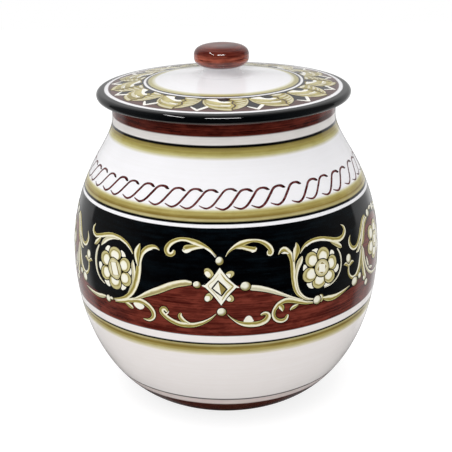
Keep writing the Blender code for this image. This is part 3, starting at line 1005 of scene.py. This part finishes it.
lid_runs = ((lid_upper + roll, PAINTED, 0.75), (lid_under, BARE_GLAZE, 0.25))

lid_paint, place = glaze("banded_lid_glaze", LID_GLOSS)
east, north, _ = place.parts()
radius = (east * east + north * north) ** 0.5 / MM + LID_WAVER * (place.noise(18.0) - 0.5)
spun = place.node("ShaderNodeCombineXYZ", {0: radius, 1: east, 2: north})
brush = spun.noise((0.9, 9.0, 9.0), 3.0, 0.6).rise(0.36, 0.70)
banded(radius, LID_BANDS, LID_RANGE, brush).feed()
pool(place, 45.0, 0.05 * MM)

lid_shell = turned("lid_shell", lid_runs, POT_TURNS, (lid_paint, white_glaze))
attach(lid_shell, "lid")
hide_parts("lid")


# The ring of leaves on the lid: thirteen shells of olive gold on a dark ground, each with a
# drop at its root and a torn rib, and a white chevron in the gap between two.
# Degrees round from the front to each leaf's drop.
LEAF_TURNS = (0.3, 29, 58.4, 86.5, 114.4, 141.6, 168.7, 195.9, 223, 250.2, 277.1, 303.2, 331.3)
# Across and out from the axis in tenths of a mm, and for a stroke its width, after its colour: 1
# is cream, 0 gold and -1 brown.
LEAF_OUTLINE = (
    (-121, 528), (-129, 575), (-121, 615), (-96, 662), (-52, 702), (-6, 718), (38, 725), (52, 709),
    (88, 687), (120, 650), (139, 610), (144, 556), (135, 519), (70, 520), (0, 520), (-70, 522),
)
LEAF_STROKES = (
    (1, ((-106, 530, 6), (-82, 539, 24), (-52, 551, 38), (-18, 570, 40), (12, 586, 28), (37, 588, 5))),
    (0.6, ((36, 534, 8), (68, 535, 22), (108, 528, 8))),
    (0.4, ((-108, 588, 5), (-82, 618, 16), (-46, 638, 21), (-10, 648, 22), (30, 653, 10))),
    (1, ((-24, 629, 3), (4, 639, 11), (28, 642, 12), (37, 634, 4))),
    (0.3, ((-90, 654, 5), (-58, 682, 15), (-16, 700, 19), (30, 708, 20), (40, 717, 6))),
    (0.3, ((-122, 546, 5), (-122, 584, 9), (-110, 624, 8), (-90, 658, 4))),
    (0.4, ((64, 576, 5), (94, 569, 17), (128, 550, 10))),
    (0.4, ((69, 609, 5), (100, 600, 17), (132, 579, 8))),
    (0.4, ((74, 638, 5), (99, 630, 16), (127, 608, 8))),
    (0.4, ((67, 669, 5), (89, 660, 15), (116, 639, 7))),
    (0.3, ((133, 528, 5), (139, 562, 10), (132, 608, 10), (114, 648, 10), (84, 682, 11), (55, 699, 5))),
    (-1.3, ((31, 554, 5), (53, 570, 10), (46, 603, 10), (62, 629, 12), (62, 656, 11), (45, 689, 10),
        (49, 716, 4))),
)
LEAF_DROP = ((-41, 523), (-6, 517), (24, 525), (35, 552), (18, 571), (-8, 575), (-31, 559))
CHEVRON_TURN = 1.5
CHEVRON_GROUND = ((-52, 662), (0, 648), (50, 662), (28, 688), (0, 716), (-28, 688))
CHEVRON_ARMS = (
    ((-49, 667, 7), (-27, 691, 15), (1, 721, 17)),
    ((46, 662, 22), (26, 688, 22), (1, 719, 18)),
)
LEAF_LINE = 0.45
LEAF_RINGS = 5
LEAF_LIGHT = (-0.3, -0.3)
LEAF_BASE, LEAF_LEVEL, STROKE_LEVEL, RIB_LEVEL, DROP_LEVEL = 1, 2, 3, 3.6, 4
CHEVRON_BASE, CHEVRON_LEVELS = 0.6, (3, 3.3)
LEAF_GOLD, LEAF_GLEAM, LEAF_EDGE = ((138, 124, 60), (184, 171, 103)), (224, 214, 160), (128, 108, 56)
LEAF_SHADES = ((-2, (20, 20, 23)), (-1.01, (96, 72, 40)), (0.001, (184, 171, 106)), (1, (250, 248, 240)))

leaf_turn = 0.0


def on_lid(across, out, lift):
    """A point on the lid's cone: mm across and mm out from the axis, in a leaf's own frame."""
    radius = math.hypot(across, out) * MM
    turn = leaf_turn + math.atan2(across, out)
    slant = radius + lift * MM * math.sin(LID_SLOPE)
    return Vector((slant * math.sin(turn), -slant * math.cos(turn),
                   lid_top(radius) + lift * MM * math.cos(LID_SLOPE)))


leaf_line, leaf_shell, leaf_light = Brushwork(on_lid), Brushwork(on_lid), Brushwork(on_lid)
for turn, following in zip(LEAF_TURNS, LEAF_TURNS[1:] + (LEAF_TURNS[0] + 360.0,)):
    leaf_turn = math.radians(turn)
    outline = closed(LEAF_OUTLINE)
    leaf_line.patch(outline, LEAF_BASE * LEVEL, wider=LEAF_LINE, rings=LEAF_RINGS)
    leaf_shell.patch(outline, LEAF_LEVEL * LEVEL, LEAF_LIGHT, rings=LEAF_RINGS)
    for pale, points in LEAF_STROKES:
        level = STROKE_LEVEL if pale >= 0 else RIB_LEVEL
        leaf_light.stroke(tenths(points), level * LEVEL, pale=pale)
    leaf_line.patch(closed(LEAF_DROP), DROP_LEVEL * LEVEL)
    leaf_turn = math.radians((turn + following) / 2 + CHEVRON_TURN)
    leaf_light.patch(closed(CHEVRON_GROUND), CHEVRON_BASE * LEVEL, pale=-2.0)
    for level, points in zip(CHEVRON_LEVELS, CHEVRON_ARMS):
        leaf_light.stroke(tenths(points), level * LEVEL, pale=1.0)

leaf_line.fired("leaf_lines", line_black, "lid", "lid_glaze")

leaf_paint, place, (out, from_light, _) = brushed("leaf_gold")
gold = place.noise(200.0, 3.0).rise(0.3, 0.7).over(*LEAF_GOLD)
gold = (0.5 * from_light.rise(0.7, 0.2)).over(gold, LEAF_GLEAM)
(0.5 * out.rise(0.8, 1.0)).over(gold, LEAF_EDGE).feed()
leaf_shell.fired("leaf_shells", leaf_paint, "lid", "lid_glaze")

light_paint, place, (_, _, pale) = brushed("leaf_lights")
pale.ramp(LEAF_SHADES, -2.0, 1.0).feed()
leaf_light.fired("leaf_lights", light_paint, "lid", "lid_glaze")


# The knob: a flattened bun brushed red-brown on the wheel, on a white waist that flares into
# the lid's crown. It is thrown apart and luted on with slip while both are leather-hard.
KNOB_LOW, KNOB_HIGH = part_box("knob")
KNOB_X = (KNOB_LOW.x + KNOB_HIGH.x) / 2
KNOB_RADIUS = (KNOB_HIGH.x - KNOB_LOW.x) / 2
KNOB_THICKNESS = 15.2 * MM
KNOB_SQUARENESS = 2.9
KNOB_DISH_RADIUS = 8.5 * MM
KNOB_DISH_DEPTH = 0.6 * MM
WAIST_RADIUS = 11.0 * MM
KNOB_FOOT_RADIUS = 17.0 * MM
KNOB_SUNK = 0.02 * MM
KNOB_STEPS = 60
FLARE_STEPS = 14
KNOB_TURNS = 120
KNOB_GLOSS, KNOB_IOR, KNOB_WAVER = 0.05, 1.56, 0.8
KNOB_RED = ((74, 19, 14), (182, 97, 76))
# Heights in mm between which the red turns from its dark top to a light middle, then darker again below,
# and where it ends on the white waist. The light middle and the darker top and underside are painted light
# and shade.
LIT_BAND_TOP, LIT_BAND_BOTTOM, RED_ENDS = (228.6, 225.8), (224.2, 221.4), (219.4, 218.8)

bun_centre = KNOB_HIGH.z - KNOB_THICKNESS / 2 + 0.5 * KNOB_DISH_DEPTH
bun = []
waist_share = (WAIST_RADIUS / KNOB_RADIUS) ** KNOB_SQUARENESS
waist_angle = math.atan2((1.0 - waist_share) ** 0.5, waist_share ** 0.5)
for step in range(KNOB_STEPS + 1):
    angle = math.pi / 2 - (math.pi / 2 + waist_angle) * step / KNOB_STEPS
    across = abs(math.cos(angle)) ** (2.0 / KNOB_SQUARENESS) if step else 0.0
    rise = math.copysign(abs(math.sin(angle)) ** (2.0 / KNOB_SQUARENESS), angle)
    radius, height = KNOB_RADIUS * across, bun_centre + KNOB_THICKNESS / 2 * rise
    if angle > 0:
        height -= KNOB_DISH_DEPTH * math.exp(-((radius / KNOB_DISH_RADIUS) ** 2))
    bun.append((radius, height))
waist_height = bun[-1][1] - crown_height
flare = [bun[-1]]
for step in range(1, FLARE_STEPS + 1):
    angle = math.pi / 2 * step / FLARE_STEPS
    radius = WAIST_RADIUS + (KNOB_FOOT_RADIUS - WAIST_RADIUS) * (1.0 - math.cos(angle))
    flare.append((radius, crown_height + waist_height * (1.0 - math.sin(angle)) - KNOB_SUNK))
knob_runs = ((bun, PAINTED, 0.7), (flare, BARE_GLAZE, 0.3))

knob_paint, place = glaze("knob_glaze", KNOB_GLOSS, KNOB_IOR)
height = place.parts()[2] / MM + KNOB_WAVER * (place.noise(40.0) - 0.5)
spun = place.noise((70.0, 70.0, 1150.0), 4.0, 0.75).rise(0.41, 0.59)
blots = place.noise((90.0, 90.0, 460.0), 3.0).rise(0.35, 0.68)
# Painted light and shade: the red is lightest round the knob's middle and darker on its top and underside,
# over the brush's own streaks.
lit_band = height.rise(*LIT_BAND_TOP) * (1.0 - 0.8 * height.rise(*LIT_BAND_BOTTOM))
red = ((0.55 * spun + 0.45 * blots) * (0.25 + 0.75 * lit_band)).over(*KNOB_RED)
height.rise(*RED_ENDS).over(red, WHITE[1]).feed()
pool(place, 70.0, 0.01 * MM)

knob = turned("knob_bun", knob_runs, KNOB_TURNS, (knob_paint, white_glaze), KNOB_X)
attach(knob, "lid")
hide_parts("knob")


# The studio: a white sweep under and behind the jar, dark towards the camera, a big soft lamp
# over the front and two narrow ones that leave the strips of light on knob and roll.
# PANEL_AT and BRIGHT_BACK are for the jar's left and its right: how far backwards a direction
# points where the bright panels begin, and how much brighter they are at the back.
FLOOR_HALF = 1.5
FLOOR_GLOW = 0.82
FLOOR_GREY, SEEN_GREY = (218, 218, 218), (150, 150, 150)
FLOOR_LIFT = 0.16
DARK_FRONT, DIM_SIDES = 0.004, 0.12
SIDE_OF_BELLY = (0.088, 0.050)
NO_ZERO = 0.0001
BRIGHT_PANELS = 0.46
BRIGHT_BACK = (0.10, 0.28)
DARK_BEHIND = 0.9
PANEL_AT = (0.51, 0.40)
PANEL_EDGE, SKY_EDGE = 0.11, 0.014
SOFT_FRONT, SOFT_SIDES, SOFT_TOP = 0.66, 1.12, 0.80
SKY_PANELS = 0.45
# How bright the studio looks straight behind the jar, from below the horizon to overhead.
SKY_BEHIND = (
    (-0.1, 0.28), (-0.05, 0.32), (-0.02, 0.42), (0.01, 0.6), (0.05, 0.52), (0.1, 0.42), (0.18, 0.44),
    (0.32, 0.5), (0.42, 0.5), (0.5, 0.52), (0.61, 0.46), (0.7, 0.24), (0.8, 0.18), (1, 0.22),
)


def between(first, second, share):
    return first + (second - first) * share


def by_side(pair, east):
    return between(*pair, east.rise(-0.05, 0.05))


def studio(tree, place):
    """A tree's start: whether a ray is the camera's or glossy, and the parts of its place."""
    start = Wash(tree)
    rays = [start.node("ShaderNodeLightPath", output=f"Is {kind} Ray") for kind in ("Camera", "Glossy")]
    return start, *rays, *start.node("ShaderNodeTexCoord", output=place).parts()


def past_edge(backwards, east, soft):
    """How far a direction is past the edge of the bright panels."""
    return ((backwards - by_side(PANEL_AT, east)) / soft).rise(-1.0, 1.0)


def dim_front(backwards):
    return DARK_FRONT + DIM_SIDES * backwards.rise(-0.9, 0.2)


floor_mesh = bpy.data.meshes.new("floor")
corners = [(x * FLOOR_HALF, y * FLOOR_HALF, 0.0) for x, y in ((-1, -1), (1, -1), (1, 1), (-1, 1))]
floor_mesh.from_pydata(corners, [], [(0, 1, 2, 3)])
floor = placed("floor", floor_mesh)
floor_white = bpy.data.materials.new("floor_white")
floor_white.use_nodes = True
tree = floor_white.node_tree
tree.nodes.remove(tree.nodes["Principled BSDF"])
start, camera_ray, glossy_ray, east, north, _ = studio(tree, "Object")
aside = (east.math("ABSOLUTE") - SIDE_OF_BELLY[0]).math("MAXIMUM", 0.0)
past = north + SIDE_OF_BELLY[1]
off = (aside * aside + past * past + NO_ZERO) ** 0.5
backwards = past / off
beyond = by_side(BRIGHT_BACK, east) * backwards.rise(0.77, 0.88)
panels = (BRIGHT_PANELS + beyond) * (1.0 - DARK_BEHIND * backwards.rise(0.93, 0.985))
panels = panels * off.rise(0.04, 0.14) * past_edge(backwards, east, PANEL_EDGE)


def emission(strength):
    return start.node("ShaderNodeEmission", {"Strength": strength})


def matt(grey, light):
    """A matt surface that gives off some light of its own."""
    surface = start.node("ShaderNodeBsdfDiffuse", {"Color": linear(grey)})
    return start.node("ShaderNodeAddShader", {0: surface, 1: emission(light)})


mirrored = emission(dim_front(backwards) + panels)
lit = start.node("ShaderNodeMixShader", {0: glossy_ray, 1: matt(FLOOR_GREY, FLOOR_LIFT), 2: mirrored})
both = start.node("ShaderNodeMixShader", {0: camera_ray, 1: lit, 2: matt(SEEN_GREY, FLOOR_GLOW)})
both.feed("Surface", "Material Output")
floor_mesh.materials.append(floor_white)

world = bpy.data.worlds.new("sweep")
bpy.context.scene.world = world
world.use_nodes = True
_, camera_ray, glossy_ray, east, north, up = studio(world.node_tree, "Generated")
backwards = north / (east * east + north * north + NO_ZERO) ** 0.5
straight = up.curve(SKY_BEHIND, SKY_BEHIND[0][0], SKY_BEHIND[-1][0])
panels = between(SKY_PANELS, straight, backwards.rise(0.85, 0.95))
crisp = past_edge(backwards, east, SKY_EDGE)
behind = between(backwards.rise(0.35, 0.75), crisp, up.rise(0.30, 0.12))
for_gloss = dim_front(backwards) + panels * behind
for_matt = between(SOFT_FRONT, SOFT_SIDES, backwards.rise(-0.9, 0.3))
for_matt = for_matt * between(1.0, SOFT_TOP, up.rise(0.3, 0.9))
strength = between(between(for_matt, for_gloss, glossy_ray), 1.0, camera_ray)
world.node_tree.nodes["Background"].inputs["Color"].default_value = (1.0, 1.0, 1.0, 1.0)
strength.feed("Strength", "Background")

# Azimuth from the front and height in degrees, distance, width and height in metres, power in
# watts, and how far it leans in degrees.
LAMPS = (
    ("key", -25.0, 58.0, 1.6, 1.5, 1.2, 12.0, 0.0),
    ("left_strip", -60.0, 56.0, 1.3, 0.85, 0.05, 4.0, -35.0),
    ("right_strip", -1.0, 49.0, 1.3, 0.56, 0.15, 8.4, 0.0),
)
JAR_MIDDLE = Vector((0.0, 0.0, 0.12))
for name, azimuth, rise, distance, wide, tall, watts, lean in LAMPS:
    light = bpy.data.lights.new(name, "AREA")
    light.shape = "RECTANGLE"
    light.size, light.size_y = wide, tall
    light.energy = watts
    lamp = placed(name, light)
    lamp.visible_glossy = name != "key"
    lamp.visible_diffuse = name == "key"
    turn, lift = math.radians(azimuth), math.radians(rise)
    away = Vector((math.sin(turn) * math.cos(lift), -math.cos(turn) * math.cos(lift), math.sin(lift)))
    lamp.location = JAR_MIDDLE + distance * away
    facing = away.to_track_quat("Z", "Y").to_matrix() @ Matrix.Rotation(math.radians(lean), 3, "Z")
    lamp.rotation_euler = facing.to_euler()

# The camera stands close, a little over three belly widths away, and looks down on the jar.
CAMERA_PLACE = Vector((0.00018, -0.68147, 0.35440))
CAMERA_PITCH = math.radians(19.74)
CAMERA_ROLL = math.radians(-0.91)
CAMERA_LENS = 85.43
camera_data = bpy.data.cameras.new("camera")
camera_data.sensor_width = 36.0
camera_data.lens = CAMERA_LENS
camera_data.clip_start = 0.02
camera = placed("camera", camera_data)
tilt = Matrix.Rotation(math.pi / 2 - CAMERA_PITCH, 4, "X") @ Matrix.Rotation(CAMERA_ROLL, 4, "Z")
camera.matrix_world = Matrix.Translation(CAMERA_PLACE) @ tilt
bpy.context.scene.camera = camera
bpy.context.scene.view_settings.view_transform = "Standard"
